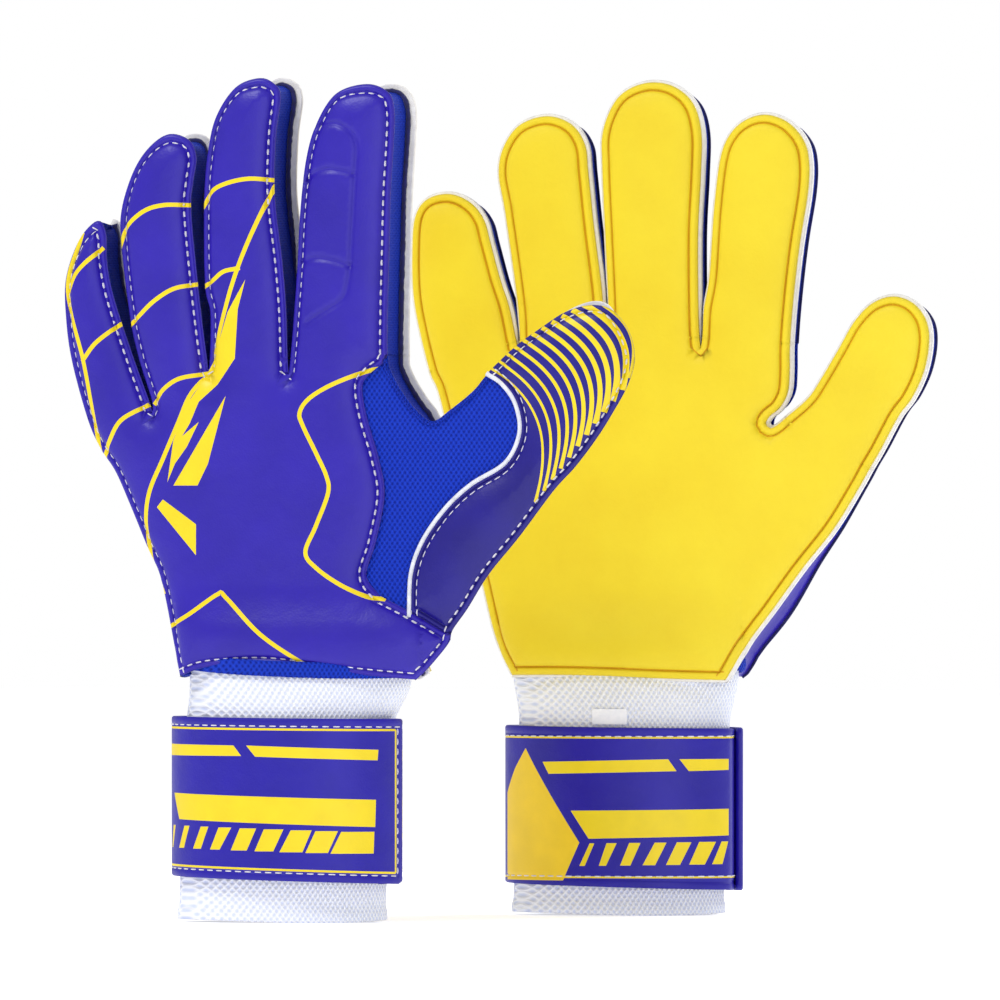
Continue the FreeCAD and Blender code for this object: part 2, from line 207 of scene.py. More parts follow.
class Glove:
    """One glove: its place in the model, its outline, and where each finger bends."""

    def __init__(self, side):
        self.side = side
        self.back_way = -1 if side == "left" else 1
        sleeve_low, sleeve_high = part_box(f"{side}_cuff_sleeve")
        palm_low, palm_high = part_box(f"{side}_palm_panel")
        self.centre = (sleeve_low + sleeve_high) / 2
        self.half_width = (sleeve_high.x - sleeve_low.x) / 2 / MM
        self.half_depth = (sleeve_high.y - sleeve_low.y) / 2 / MM
        self.palm_y = palm_high.y if side == "left" else palm_low.y
        self.drawn = OUTLINES[side]
        drawn = self.drawn
        runs = [
            drawn["ulnar"] + drawn["pinky"] + drawn["pinky_crotch"],
            drawn["pinky_crotch"] + drawn["ring"] + drawn["ring_crotch"],
            drawn["ring_crotch"] + drawn["middle"] + drawn["middle_crotch"],
            drawn["middle_crotch"] + drawn["index"] + drawn["web"] + drawn["thumb"]
            + drawn["radial"],
            drawn["radial"][-1:] + drawn["hem"] + drawn["ulnar"][:1],
        ]
        self.outline = np.vstack([smooth_route(run)[:-1] for run in runs])
        self.ends = {f: (self.nearest(drawn[f][0]), self.nearest(drawn[f][-1])) for f in FINGERS}
        self.hem_start = self.nearest(drawn["radial"][-1])
        self.bends = {}
        for joint in frame["joints"]:
            for finger in FINGERS:
                if joint["name"] == f"{side}_{finger}_curl":
                    self.bends[finger] = (Vector(joint["pos_m"]), Vector(joint["axis"]))

    def nearest(self, point):
        return nearest_index(self.outline, point)

    def layer_growth(self, layer):
        """How far a layer's edge stands out from the outline drawn, which is the back's on
        the left glove and the palm's on the right one."""
        out = -rightward(self.outline, True)
        over, up = out[:, 0], out[:, 1]
        number = np.arange(len(self.outline))
        if self.side == "right":
            if layer == "palm":
                return np.zeros(len(self.outline))
            down_side = (number > self.ends["thumb"][1]) & (number <= self.hem_start)
            heel = groove(self.outline[:, 1], HEEL_HEIGHT, HEEL_REACH)
            return HEEL_FLARE * heel * down_side - BACK_DRAWN_IN
        if layer == "back":
            return np.zeros(len(self.outline))
        growth = PALM_BESIDE_FINGERS * ease((over + 0.2) / 0.8) - PALM_BEHIND_BACK
        growth -= PALM_BELOW_TIPS * np.maximum(up, 0) ** 2
        thumb_side = (number > self.ends["thumb"][0]) & (number <= self.hem_start)
        along_thumb = PALM_ABOVE_THUMB - PALM_UNDER_THUMB * ease((over + 0.15) / 0.7)
        return np.where(thumb_side, along_thumb, growth)

    def grown(self, layer, more=0.0):
        """The edge of a layer, kept clear of any other edge close by."""
        out = -rightward(self.outline, True)
        growth = self.layer_growth(layer) + more
        gap = self.outline - self.outline[:, None]
        near = np.linalg.norm(gap, axis=2)
        ahead = (gap * out[:, None]).sum(2) > 0.6 * near
        blocked = np.where(ahead & (near > 1e-6), near, 1e9).min(1)
        growth = np.minimum(growth, np.maximum(blocked / 2 - 0.3, 0.0))
        padded = np.concatenate([growth[-3:], growth, growth[:3]])
        growth = np.minimum(growth, np.convolve(padded, np.ones(7) / 7, "valid"))
        return self.outline + out * growth[:, None]

    def cut(self, outline, finger):
        """The bending line of a finger on this outline, from its first side to its last."""
        first, last = self.ends[finger]
        return straight_route(outline[first], outline[last])

    def finger_piece(self, outline, finger):
        first, last = self.ends[finger]
        return np.vstack([outline[first : last + 1], self.cut(outline, finger)[::-1][1:-1]])

    def hand_runs(self, outline):
        """The stretches of outline between the fingers, from the hem round to the hem."""
        stops = [0]
        for finger in FINGERS:
            stops += self.ends[finger]
        stops.append(self.hem_start)
        return [outline[stops[i] : stops[i + 1] + 1] for i in range(0, len(stops), 2)]

    def hand_piece(self, outline):
        path = []
        for run, finger in zip(self.hand_runs(outline), FINGERS):
            path += [run, self.cut(outline, finger)[1:-1]]
        return np.vstack(path + [outline[self.ends["thumb"][1] :]])

    def place(self, uv, w):
        """World points, in metres, of flat points uv at depths w."""
        x = self.centre.x + uv[:, 0] * MM
        y = self.palm_y + self.back_way * w * MM
        return np.column_stack([x, y, uv[:, 1] * MM])

    def attach(self, piece, part):
        """Rides the hand; any other piece is baked in place where it lies, its bend and bending
        line read but not used.
        """
        hand = f"{self.side}_hand"
        if part == "hand":
            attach(piece, hand)
            return
        pos, axis = self.bends[part]
        still = self.cut(self.outline, part)
        if part == "thumb":
            still = np.vstack([still, smooth_route(SEAMS[self.side]["piping"])])
        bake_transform(piece)


# Seams across the back: the edge of the back panel over the mesh, the piped seam of the
# thumb panel, and the top of the band along the hem.
SEAMS = {
    "left": {
        "mesh": [(31.5, 180.5), (27, 177), (24.6, 173), (26, 163.5), (30, 150), (32, 138),
                 (29, 122.5), (26, 112), (30.5, 105.5)],
        "piping": [(66, 177.2), (71, 174), (75.6, 167.5), (77, 158), (72.3, 148.4),
                   (61, 141.4), (52.3, 133.5), (44.8, 123), (41, 112.3), (40.6, 98.6)],
        "band": [(30.5, 105.5), (41, 100.2), (53.3, 93)],
    },
    "right": {
        "mesh": [(57, 184), (54.5, 180.5), (52.5, 175), (49, 166), (47, 150), (47.5, 137),
                 (44.5, 123), (38, 112), (38, 104.5)],
        "piping": [(58.8, 162.4), (65.5, 161.6), (70.5, 160.4), (72.8, 156), (70.5, 149.5),
                   (64.5, 143), (57.5, 136), (51.5, 126), (48, 114), (46, 97.5)],
        "band": [(38, 104.5), (44, 101), (52.8, 96.5)],
    },
}

GLOVES = {side: Glove(side) for side in ("left", "right")}

RIM_ROWS = (0.35, 0.8, 1.3, 1.8, 2.3, 2.8, 3.4, 4.2)
FILL_STEP = 1.5


def flat_points(outline, rim, lines):
    """Points to fill an outline with: rows along its rim and lines, then an even field."""
    normals = rightward(outline, True)
    on_rim = distance(outline, rim) < 0.01
    keep = []
    for depth in RIM_ROWS:
        row = outline[on_rim] + normals[on_rim] * depth
        keep.append(row[distance(row, rim) > depth - 0.12])
    for line in lines:
        side = rightward(line)
        keep += [line + side * step for step in (-1.2, -0.6, 0.0, 0.6, 1.2)]
    rows = np.vstack(keep)
    low, high = outline.min(0), outline.max(0)
    field = []
    for j, v in enumerate(np.arange(low[1], high[1], FILL_STEP * math.sqrt(3) / 2)):
        u = np.arange(low[0] + (j % 2) * FILL_STEP / 2, high[0], FILL_STEP)
        field.append(np.column_stack([u, np.full(len(u), v)]))
    field = np.vstack(field)
    field = field[inside(field, outline)]
    field = field[distance(field, rim) > RIM_ROWS[-1] + 0.6]
    for line in lines:
        field = field[distance(field, segments_of(line)) > 1.6]
    points = np.vstack([rows[inside(rows, outline)], field])
    return points[distance(points, segments_of(outline, True)) > 0.25]


def signed_area(outline):
    x, y = outline[:, 0], outline[:, 1]
    return (x * np.roll(y, -1) - y * np.roll(x, -1)).sum() / 2


def counter_clockwise(outline):
    return outline if signed_area(outline) > 0 else outline[::-1]


def in_collection(name, mesh):
    piece = bpy.data.objects.new(name, mesh)
    bpy.context.collection.objects.link(piece)
    return piece


def smooth_mesh(name, verts, faces, materials):
    mesh = bpy.data.meshes.new(name)
    mesh.from_pydata(verts.tolist(), [], faces)
    for material in materials:
        mesh.materials.append(material)
    mesh.polygons.foreach_set("use_smooth", [True] * len(faces))
    mesh.update()
    return mesh


def subdivided(outline, step=OUTLINE_STEP):
    """A polygon with its straight sides cut into short steps."""
    after = np.roll(outline, -1, 0)
    return np.vstack([straight_route(a, b, step)[:-1] for a, b in zip(outline, after)])


def cut_sheet(name, outline, rim, upper, lower, place, materials, inks=(), lines=()):
    """A closed sheet cut to an outline. upper and lower give the heights of its two faces at
    flat points with their distances from the rim, and place puts points and heights in the
    model. materials are the sheet's own, its underside's, and then the inks'; inks are
    (outline, material index) pairs, and lines are routes that the mesh follows closely."""
    polygons = [counter_clockwise(outline)]
    polygons += [counter_clockwise(subdivided(ink)) for ink, _ in inks]
    points = np.vstack(polygons + [flat_points(outline, rim, lines)])
    loops, start = [], 0
    for polygon in polygons:
        loops.append(list(range(start, start + len(polygon))))
        start += len(polygon)
    spots = [Vector(p) for p in points.tolist()]
    flat, _, cells, _, _, sources = geometry.delaunay_2d_cdt(spots, [], loops, 0, 1e-5)
    kept = [(cell, source) for cell, source in zip(cells, sources) if 0 in source]
    used = sorted({i for cell, _ in kept for i in cell})
    renumber = {old: new for new, old in enumerate(used)}
    uv = np.array([flat[i][:] for i in used])
    count = len(uv)

    def surface(at, heights):
        return place(at, heights(at, distance(at, rim)))

    top, bottom = surface(uv, upper), surface(uv, lower)
    nudge = 0.08
    du = surface(uv + (nudge, 0), upper) - surface(uv - (nudge, 0), upper)
    dv = surface(uv + (0, nudge), upper) - surface(uv - (0, nudge), upper)
    normals = np.cross(du, dv)
    normals /= np.maximum(np.linalg.norm(normals, axis=1), 1e-12)[:, None]
    flipped = ((normals * (top - bottom)).sum(1)).mean() < 0
    if flipped:
        normals = -normals
    triangles = [[renumber[i] for i in cell] for cell, _ in kept]
    ink_of = [max([inks[s - 1][1] for s in source if s > 0], default=0) for _, source in kept]
    edges = {(t[k], t[(k + 1) % len(t)]) for t in triangles for k in range(len(t))}
    walls = [(a, b) for a, b in edges if (b, a) not in edges]
    walls.sort()
    faces = [t[::-1] if flipped else t for t in triangles]
    faces += [[i + count for i in (t if flipped else t[::-1])] for t in triangles]
    for a, b in walls:
        quad = [b, a, a + count, b + count]
        faces.append(quad[::-1] if flipped else quad)
    mesh = smooth_mesh(name, np.vstack([top, bottom]), faces, materials)
    slots = ink_of + [1] * len(triangles) + [0] * len(walls)
    mesh.polygons.foreach_set("material_index", slots)
    mesh.update()
    corners = np.empty(len(mesh.loops), int)
    mesh.loops.foreach_get("vertex_index", corners)
    custom = np.zeros((len(corners), 3))
    on_top = np.arange(len(corners)) < sum(len(t) for t in triangles)
    custom[on_top] = normals[corners[on_top]]
    mesh.normals_split_custom_set(custom.tolist())
    return in_collection(name, mesh)


def rounded(d, radius):
    """Rises from 0 at the rim to 1 at this distance from it, like a quarter circle."""
    x = 1 - np.clip(d / radius, 0, 1)
    return np.sqrt(np.maximum(1 - x * x, 0))


def band(route, width, reach=0.0):
    """The closed outline of a stripe along a route, run on past both its ends by reach."""
    if reach:
        before = route[0] - route[1]
        after = route[-1] - route[-2]
        before, after = (run * reach / np.linalg.norm(run) for run in (before, after))
        route = np.vstack([route[:1] + before, route, route[-1:] + after])
    side = rightward(route) * width / 2
    return np.vstack([route - side, (route + side)[::-1]])


WRIST_SWELL = 7.0


def wrist_swell(at):
    """How much the glove's two faces stand out where it opens round the wrist."""
    across = np.sqrt(np.clip(1 - ((at[:, 0] - 4) / 41) ** 2, 0, 1))
    return WRIST_SWELL * across * ease((110 - at[:, 1]) / 28)


LATEX_SEAM = 2.7


def latex_face(at, d):
    roll_edge = 1.7 * rounded(d, 1.1) - 0.85 * groove(d, LATEX_SEAM, 0.42)
    swell = 1.9 * rounded(np.maximum(d - LATEX_SEAM, 0), 8.0)
    wave = 0.3 * np.sin(at[:, 0] / 9 + at[:, 1] / 21) * np.sin(at[:, 1] / 13) * ease(d / 14)
    return 2.0 - roll_edge - swell - wave - wrist_swell(at)


def latex_back(at, d):
    return 3.2 - wrist_swell(at)


class Finish:
    """A material under way: a shader with nodes added in order. Sizes are in metres."""

    def __init__(self, name, colour, roughness):
        self.material = bpy.data.materials.new(name)
        self.material.use_nodes = True
        self.nodes = self.material.node_tree.nodes
        self.links = self.material.node_tree.links
        self.shader = self.nodes["Principled BSDF"]
        self.shader.inputs["Base Color"].default_value = (*colour, 1)
        self.shader.inputs["Roughness"].default_value = roughness
        self.where = self.nodes.new("ShaderNodeTexCoord").outputs["Object"]
        self.relief = None

    def noise(self, size, detail=3.0, stretch=(1, 1, 1)):
        turn = self.nodes.new("ShaderNodeMapping")
        turn.inputs["Scale"].default_value = stretch
        self.links.new(self.where, turn.inputs["Vector"])
        node = self.nodes.new("ShaderNodeTexNoise")
        node.inputs["Scale"].default_value = 1 / size
        node.inputs["Detail"].default_value = detail
        self.links.new(turn.outputs["Vector"], node.inputs["Vector"])
        return node.outputs["Fac"]

    def cells(self, size):
        node = self.nodes.new("ShaderNodeTexVoronoi")
        node.inputs["Scale"].default_value = 1 / size
        self.links.new(self.where, node.inputs["Vector"])
        return node.outputs["Distance"]

    def tint(self, factor, low_colour, high_colour, low=0.3, high=0.7):
        ramp = self.nodes.new("ShaderNodeValToRGB")
        ramp.color_ramp.elements[0].position = low
        ramp.color_ramp.elements[0].color = (*low_colour, 1)
        ramp.color_ramp.elements[1].position = high
        ramp.color_ramp.elements[1].color = (*high_colour, 1)
        self.links.new(factor, ramp.inputs["Fac"])
        self.links.new(ramp.outputs["Color"], self.shader.inputs["Base Color"])

    def roughen(self, factor, low, high):
        span = self.nodes.new("ShaderNodeMapRange")
        span.inputs["To Min"].default_value = low
        span.inputs["To Max"].default_value = high
        self.links.new(factor, span.inputs["Value"])
        self.links.new(span.outputs["Result"], self.shader.inputs["Roughness"])

    def emboss(self, height, depth):
        """Adds relief of this depth over any relief already there."""
        bump = self.nodes.new("ShaderNodeBump")
        bump.inputs["Strength"].default_value = 1.0
        bump.inputs["Distance"].default_value = depth
        self.links.new(height, bump.inputs["Height"])
        if self.relief is not None:
            self.links.new(self.relief, bump.inputs["Normal"])
        self.relief = bump.outputs["Normal"]
        self.links.new(self.relief, self.shader.inputs["Normal"])


def latex_foam(name, colour, shade):
    """Matt foam with open pores and a faint mottling."""
    finish = Finish(name, colour, 0.6)
    finish.tint(finish.noise(0.025, 4), shade, colour)
    finish.roughen(finish.noise(0.004), 0.5, 0.68)
    finish.emboss(finish.cells(0.0008), 0.00004)
    finish.emboss(finish.noise(0.006, 3), 0.0003)
    finish.shader.inputs["Specular IOR Level"].default_value = 0.35
    return finish.material


def brushed_cloth(name, colour, shade):
    finish = Finish(name, colour, 0.9)
    finish.tint(finish.noise(0.002), shade, colour)
    finish.roughen(finish.noise(0.001), 0.8, 1.0)
    finish.emboss(finish.noise(0.0005), 0.00015)
    finish.shader.inputs["Sheen Weight"].default_value = 0.3
    return finish.material


yellow_latex = latex_foam("yellow_latex", (0.8, 0.64, 0.022), (0.76, 0.58, 0.017))
# Painted shade: a darker amber latex for the thin line along each stitched groove, where shade
# falls in the groove.
groove_shade_latex = latex_foam("groove_shade_latex", (0.7, 0.38, 0.004), (0.6, 0.3, 0.004))
white_foam = brushed_cloth("white_foam", (0.85, 0.84, 0.82), (0.74, 0.72, 0.7))


def inset_run(run, depth):
    return run + rightward(run) * depth


for side, glove in GLOVES.items():
    edge = glove.grown("palm")
    rim = segments_of(edge, True)
    parts = [(finger, glove.finger_piece(edge, finger)) for finger in FINGERS]
    parts.append(("hand", glove.hand_piece(edge)))
    for part, outline in parts:
        if part == "hand":
            runs = glove.hand_runs(edge) + [edge[glove.hem_start :]]
            node = f"{side}_palm_panel"
        else:
            first, last = glove.ends[part]
            runs = [edge[first : last + 1]]
            node = f"{side}_{part}_palm"
        # Each stitched groove gets a 0.5 mm band of the darker latex, painted shade in the groove.
        seams = [(band(inset_run(run, LATEX_SEAM), 0.5), 2) for run in runs if len(run) > 3]
        latex = cut_sheet(
            f"{node}_latex", outline, rim, latex_face, latex_back, glove.place,
            (yellow_latex, white_foam, groove_shade_latex), seams,
        )
        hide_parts(node)
        glove.attach(latex, part)

# ---------------------------------------------------------------- palm backing
# Under the latex lies a white foam backing, cut a little wider so that its edge shows. A
# fuzzy navy binding covers the seam between the backing and the sides of the glove.
BACKING_OVERLAP = 0.9
BINDING_RADIUS = 0.85
BINDING_INSET = {"left": 2.3, "right": 1.2}
BINDING_DEPTH = 6.7


def backing_face(at, d):
    return 3.0 + 0.9 * (1 - rounded(d, 0.9)) - wrist_swell(at)


def backing_back(at, d):
    return 6.0 - wrist_swell(at)


def tube(name, path, radius, material, sides=8):
    """A round tube along a path of points in metres; radius may vary along it."""
    radius = np.broadcast_to(radius, len(path)) * MM
    along = np.gradient(path, axis=0)
    along /= np.maximum(np.linalg.norm(along, axis=1), 1e-12)[:, None]
    depth = np.tile([0.0, 1.0, 0.0], (len(path), 1))
    across = np.cross(along, depth)
    across /= np.maximum(np.linalg.norm(across, axis=1), 1e-12)[:, None]
    depth = np.cross(across, along)
    rings = []
    for k in range(sides):
        angle = 2 * math.pi * k / sides
        rings.append(
            path
            + across * (radius * math.cos(angle))[:, None]
            + depth * (radius * math.sin(angle))[:, None]
        )
    verts = np.stack(rings, axis=1).reshape(-1, 3)
    faces = []
    for i in range(len(path) - 1):
        for k in range(sides):
            a, b = i * sides + k, i * sides + (k + 1) % sides
            faces.append((a, b, b + sides, a + sides))
    last = (len(path) - 1) * sides
    faces.append(tuple(range(sides))[::-1])
    faces.append(tuple(range(last, last + sides)))
    return in_collection(name, smooth_mesh(name, verts, faces, [material]))


navy_binding = brushed_cloth("navy_binding", (0.008, 0.008, 0.12), (0.004, 0.004, 0.05))
fuzz = np.random.default_rng(7)

for side, glove in GLOVES.items():
    edge = glove.grown("palm", BACKING_OVERLAP)
    rim = segments_of(edge, True)
    for part in FINGERS + ("hand",):
        if part == "hand":
            outline, runs = glove.hand_piece(edge), glove.hand_runs(edge)
        else:
            first, last = glove.ends[part]
            outline, runs = glove.finger_piece(edge, part), [edge[first : last + 1]]
        backing = cut_sheet(
            f"{side}_{part}_backing", outline, rim, backing_face, backing_back, glove.place,
            (white_foam, white_foam),
        )
        glove.attach(backing, part)
        for number, run in enumerate(runs):
            if len(run) < 4:
                continue
            line = inset_run(run, BINDING_INSET[side])
            path = glove.place(line, BINDING_DEPTH - wrist_swell(line))
            girth = BINDING_RADIUS * fuzz.uniform(0.8, 1.15, len(path))
            binding = tube(f"{side}_{part}_binding_{number}", path, girth, navy_binding)
            glove.attach(binding, part)

# ---------------------------------------------------------------- back of the hand
# The back is padded synthetic leather, smooth and slightly shiny, on each finger and over the
# hand. It is sewn down in white thread 2 mm inside its edges, embossed on the index finger,
# and printed with yellow lines and blades.
SHELL_SEAM = 2.0
SHELL_FACE = 22.0
SHELL_CROWN = 3.6
LINE_WIDTH = 1.4
PRINTED_LINES = [
    [(-68.5, 221.5), (-73, 204.5), (-67.5, 182), (-65, 168.5), (-62.5, 153)],
    [(-72.5, 204), (-69.5, 210), (-62, 217)],
    [(-55.5, 218.5), (-53, 224.5), (-47, 229.5), (-40.5, 231.5), (-32.5, 231.5)],
    [(-27.5, 231.5), (-24.5, 236), (-19.5, 238.5), (-12, 240), (-4.5, 239.5)],
    [(-67, 182), (-63, 187), (-55.5, 193)],
    [(-52, 193), (-48.5, 196), (-43.5, 200.5), (-37, 204.5), (-29.5, 206)],
    [(-28, 205), (-24.5, 207), (-20.5, 210), (-16, 211)],
    [(-4.5, 237), (-15.5, 211.5), (-23, 187), (-23.8, 181), (-26.5, 176)],
    [(-60.5, 151), (-58.5, 155.5), (-54.5, 162), (-47, 166.5)],
    [(-43.5, 168), (-40.5, 172), (-35, 175.5), (-27, 177)],
    [(-26.5, 176.5), (-31.5, 170), (-35.5, 161), (-40.5, 149.5), (-45, 139), (-46.5, 129.5),
     (-45.5, 119.5), (-44.5, 114.5), (-41.5, 107)],
    [(34, 179), (27, 178), (15.5, 173.5), (8, 169), (5, 164.5), (6, 160.5), (10.5, 151.5),
     (14, 144), (14.5, 138.5), (10.5, 128), (7, 119.5), (10.5, 114.5), (18.5, 109),
     (27, 105.2), (31.5, 104.5)],
    [(-39, 95.5), (-31.5, 99.5), (-22, 106), (-19.5, 105), (-6.5, 92.5), (10.5, 81.5)],
]
PRINTED_BLADES = [
    [(-13, 207.5), (-15.5, 198), (-16.5, 182), (-22.5, 173.5), (-28.5, 168), (-31.5, 161),
     (-34, 157), (-28.5, 161.5), (-32.5, 153.5), (-36.5, 148), (-39, 142), (-37, 155.5),
     (-32.5, 167), (-26.2, 176.5), (-23, 185), (-19, 197)],
    [(-40.5, 136.5), (-29.5, 128.5), (-29.5, 118.5), (-42.5, 134)],
    [(-19.5, 170), (-25.5, 148), (-29, 141), (-37, 141)],
]
INDEX_PADS = [
    [(9.5, 256.5), (14, 257.8), (18, 257.4), (22.2, 254.5), (23.9, 250), (23.4, 241),
     (22, 216), (21, 206), (19, 201), (12, 196.5), (7, 193.5)],
    [(6, 238.5), (9, 241.4), (13.8, 242.9), (18, 242.6), (22.5, 241.6)],
    [(4.6, 212.8), (8, 214), (11.6, 214.3), (16, 213.6), (21.4, 212)],
]


def landmarks(glove):
    """Points that lie in the same place of the pattern on either glove."""
    drawn, seams = glove.drawn, SEAMS[glove.side]
    points = [drawn["ulnar"][0], drawn["radial"][-1]]
    for finger in FINGERS:
        tip = max(drawn[finger], key=lambda p: p[1])
        points += [drawn[finger][0], tip, drawn[finger][-1]]
    points += drawn["pinky_crotch"] + drawn["ring_crotch"] + drawn["middle_crotch"]
    return np.array(points + seams["mesh"] + seams["piping"] + seams["band"], float)


def drawn_for(glove, points):
    """Points drawn on the left glove, carried over to this one."""
    points = np.array(points, float)
    if glove.side == "left":
        return points
    marks = landmarks(GLOVES["left"])
    shift = landmarks(glove) - marks
    gap = ((points[:, None] - marks) ** 2).sum(2) + 1.0
    pull = gap**-1.5
    return points + (pull @ shift) / pull.sum(1)[:, None]


def fingertips(glove):
    tips = [max(glove.drawn[f], key=lambda p: p[1]) for f in FINGERS[:4]]
    return np.array(tips + [max(glove.drawn["thumb"], key=lambda p: p[0] + 0.5 * p[1])])


def tip_nearness(glove, at):
    """1 at a fingertip, falling to 0 a little way from it."""
    gap = np.linalg.norm(at[:, None] - fingertips(glove), axis=2).min(1)
    return np.exp(-((gap / 10) ** 2))


def shell_face(glove, pads=()):
    """The height of the padded back, with any embossed lines pressed into it."""

    def height(at, d):
        d = d * (1 - 0.3 * tip_nearness(glove, at))
        rim_roll = 1.5 * rounded(d, 1.0) - 0.55 * groove(d, SHELL_SEAM, 0.55)
        crown = SHELL_CROWN * rounded(np.maximum(d - SHELL_SEAM, 0), 10.5)
        crown *= 0.45 + 0.55 * ease((at[:, 1] - 82) / 16)
        wave = 0.35 * np.sin(at[:, 0] / 11 + 1) * np.sin(at[:, 1] / 17) * ease(d / 12)
        face = SHELL_FACE + rim_roll + crown + wave + wrist_swell(at)
        for pad in pads:
            face -= 0.75 * groove(distance(at, segments_of(pad)), 0, 0.9)
        return face

    return height


def shell_inside(at, d):
    return SHELL_FACE - 0.4 + wrist_swell(at)


def seam_inset(glove, run, depth=SHELL_SEAM):
    return run + rightward(run) * (depth / (1 - 0.3 * tip_nearness(glove, run)))[:, None]


def synthetic_leather(name, colour, shade):
    """Smooth coated cloth: fine grain, soft sheen, slightly uneven colour."""
    finish = Finish(name, colour, 0.42)
    finish.tint(finish.noise(0.02), shade, colour)
    finish.roughen(finish.noise(0.006), 0.34, 0.48)
    finish.emboss(finish.cells(0.0007), 0.00003)
    finish.emboss(finish.noise(0.005, 4), 0.0002)
    finish.shader.inputs["Specular IOR Level"].default_value = 0.4
    return finish.material


def rubber_ink(name, colour):
    finish = Finish(name, colour, 0.42)
    finish.tint(finish.noise(0.008), tuple(0.92 * c for c in colour), colour)
    finish.roughen(finish.noise(0.004), 0.36, 0.5)
    finish.emboss(finish.noise(0.0008), 0.00004)
    return finish.material


def spun_thread(name, colour):
    finish = Finish(name, colour, 0.6)
    finish.tint(finish.noise(0.003), tuple(0.75 * c for c in colour), colour)
    finish.roughen(finish.noise(0.001), 0.5, 0.75)
    finish.emboss(finish.noise(0.0004, 2), 0.0001)
    return finish.material


violet_shell = synthetic_leather("violet_shell", (0.021, 0.007, 0.37), (0.016, 0.005, 0.31))
yellow_ink = rubber_ink("yellow_ink", (0.84, 0.64, 0.002))
white_thread = spun_thread("white_thread", (0.78, 0.76, 0.84))

STITCH_LENGTH = 2.4
STITCH_GAP = 0.8
STITCH_RADIUS = 0.25
STITCH_SIDES = 6
# Along a stitch: how far from its middle, how thick, and how high over the sheet.
STITCH_SECTIONS = ((-0.5, 0.1, -0.6), (-0.36, 0.85, 0.1), (0.0, 1.0, 0.6), (0.36, 0.85, 0.1),
                   (0.5, 0.1, -0.6))


def along_route(route, spacing):
    """Evenly spaced points along a route, with the direction at each."""
    steps = np.linalg.norm(np.diff(route, axis=0), axis=1)
    length = np.concatenate([[0], np.cumsum(steps)])
    at = np.arange(spacing / 2, length[-1], spacing)

    def point(where):
        return np.column_stack([np.interp(where, length, route[:, k]) for k in range(2)])

    ahead = point(at + 0.3) - point(at - 0.3)
    return point(at), ahead / np.maximum(np.linalg.norm(ahead, axis=1), 1e-9)[:, None]


def stitch_row(name, routes, surface, thread, size=1.0):
    """Stitches along flat routes; surface puts flat points and lifts in the model."""
    flat, lifts, faces = [], [], []
    angles = np.arange(STITCH_SIDES) * 2 * math.pi / STITCH_SIDES
    for route in routes:
        if len(route) < 3:
            continue
        middles, ways = along_route(route, STITCH_LENGTH + STITCH_GAP)
        for middle, way in zip(middles, ways):
            across = np.array([-way[1], way[0]])
            base = len(lifts)
            for along, thick, high in STITCH_SECTIONS:
                radius = thick * STITCH_RADIUS * size
                centre = middle + way * along * STITCH_LENGTH
                flat += list(centre + np.outer(np.cos(angles) * radius, across))
                lifts += list(high * STITCH_RADIUS * size + np.sin(angles) * radius)
            for k in range(len(STITCH_SECTIONS) - 1):
                for j in range(STITCH_SIDES):
                    a = base + k * STITCH_SIDES + j
                    b = base + k * STITCH_SIDES + (j + 1) % STITCH_SIDES
                    faces.append((a, b, b + STITCH_SIDES, a + STITCH_SIDES))
            last = base + (len(STITCH_SECTIONS) - 1) * STITCH_SIDES
            faces.append(tuple(range(base, base + STITCH_SIDES))[::-1])
            faces.append(tuple(range(last, last + STITCH_SIDES)))
    verts = surface(np.array(flat), np.array(lifts))
    return in_collection(name, smooth_mesh(name, verts, faces, [thread]))


def on_face(glove, face, rim):
    def surface(at, lifts):
        return glove.place(at, face(at, distance(at, rim)) + lifts)

    return surface


def near_outline(shapes, outline):
    low, high = outline.min(0), outline.max(0)
    return [s for s in shapes if (s.max(0) > low).all() and (s.min(0) < high).all()]


def seam(glove, name):
    return smooth_route(SEAMS[glove.side][name])


for side, glove in GLOVES.items():
    edge = glove.grown("back")
    index_end = glove.ends["index"][1]
    corner = nearest_index(edge, seam(glove, "band")[-1])
    mesh_seam = np.vstack([edge[index_end], seam(glove, "mesh")])
    band_seam = np.vstack([seam(glove, "band")[:-1], edge[corner]])
    shell_runs = [edge[: index_end + 1], mesh_seam, band_seam, edge[corner:]]
    rim = np.vstack([segments_of(run) for run in shell_runs])
    rim = np.vstack([rim, segments_of(np.vstack([edge[-1], edge[0]]))])
    prints = [band(smooth_route(drawn_for(glove, line)), LINE_WIDTH, 1.2) for line in PRINTED_LINES]
    prints += [drawn_for(glove, blade) for blade in PRINTED_BLADES]
    pads = [smooth_route(drawn_for(glove, pad)) for pad in INDEX_PADS]
    for part in FINGERS[:4] + ("hand",):
        if part == "hand":
            first_index = glove.ends["pinky"][0]
            path = [edge[: first_index + 1]]
            for finger, following in zip(FINGERS[:4], FINGERS[1:4] + ("",)):
                path.append(glove.cut(edge, finger)[1:])
                if following:
                    stop = glove.ends[following][0]
                    path.append(edge[glove.ends[finger][1] + 1 : stop + 1])
            outline = np.vstack(path + [mesh_seam[1:], band_seam[1:], edge[corner + 1 :]])
            runs = glove.hand_runs(edge)[:4] + [mesh_seam, band_seam[:-2], edge[corner:]]
            node = f"{side}_back_panel"
        else:
            first, last = glove.ends[part]
            outline, runs = glove.finger_piece(edge, part), [edge[first : last + 1]]
            node = f"{side}_{part}_back"
        face = shell_face(glove, pads if part == "index" else ())
        inks = [(ink, 2) for ink in near_outline(prints, outline)]
        shell = cut_sheet(
            f"{node}_shell", outline, rim, face, shell_inside, glove.place,
            (violet_shell, navy_binding, yellow_ink), inks, pads if part == "index" else (),
        )
        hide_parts(node)
        glove.attach(shell, part)
        stitches = stitch_row(
            f"{side}_{part}_back_stitches", [seam_inset(glove, run) for run in runs],
            on_face(glove, face, rim), white_thread,
        )
        glove.attach(stitches, part)

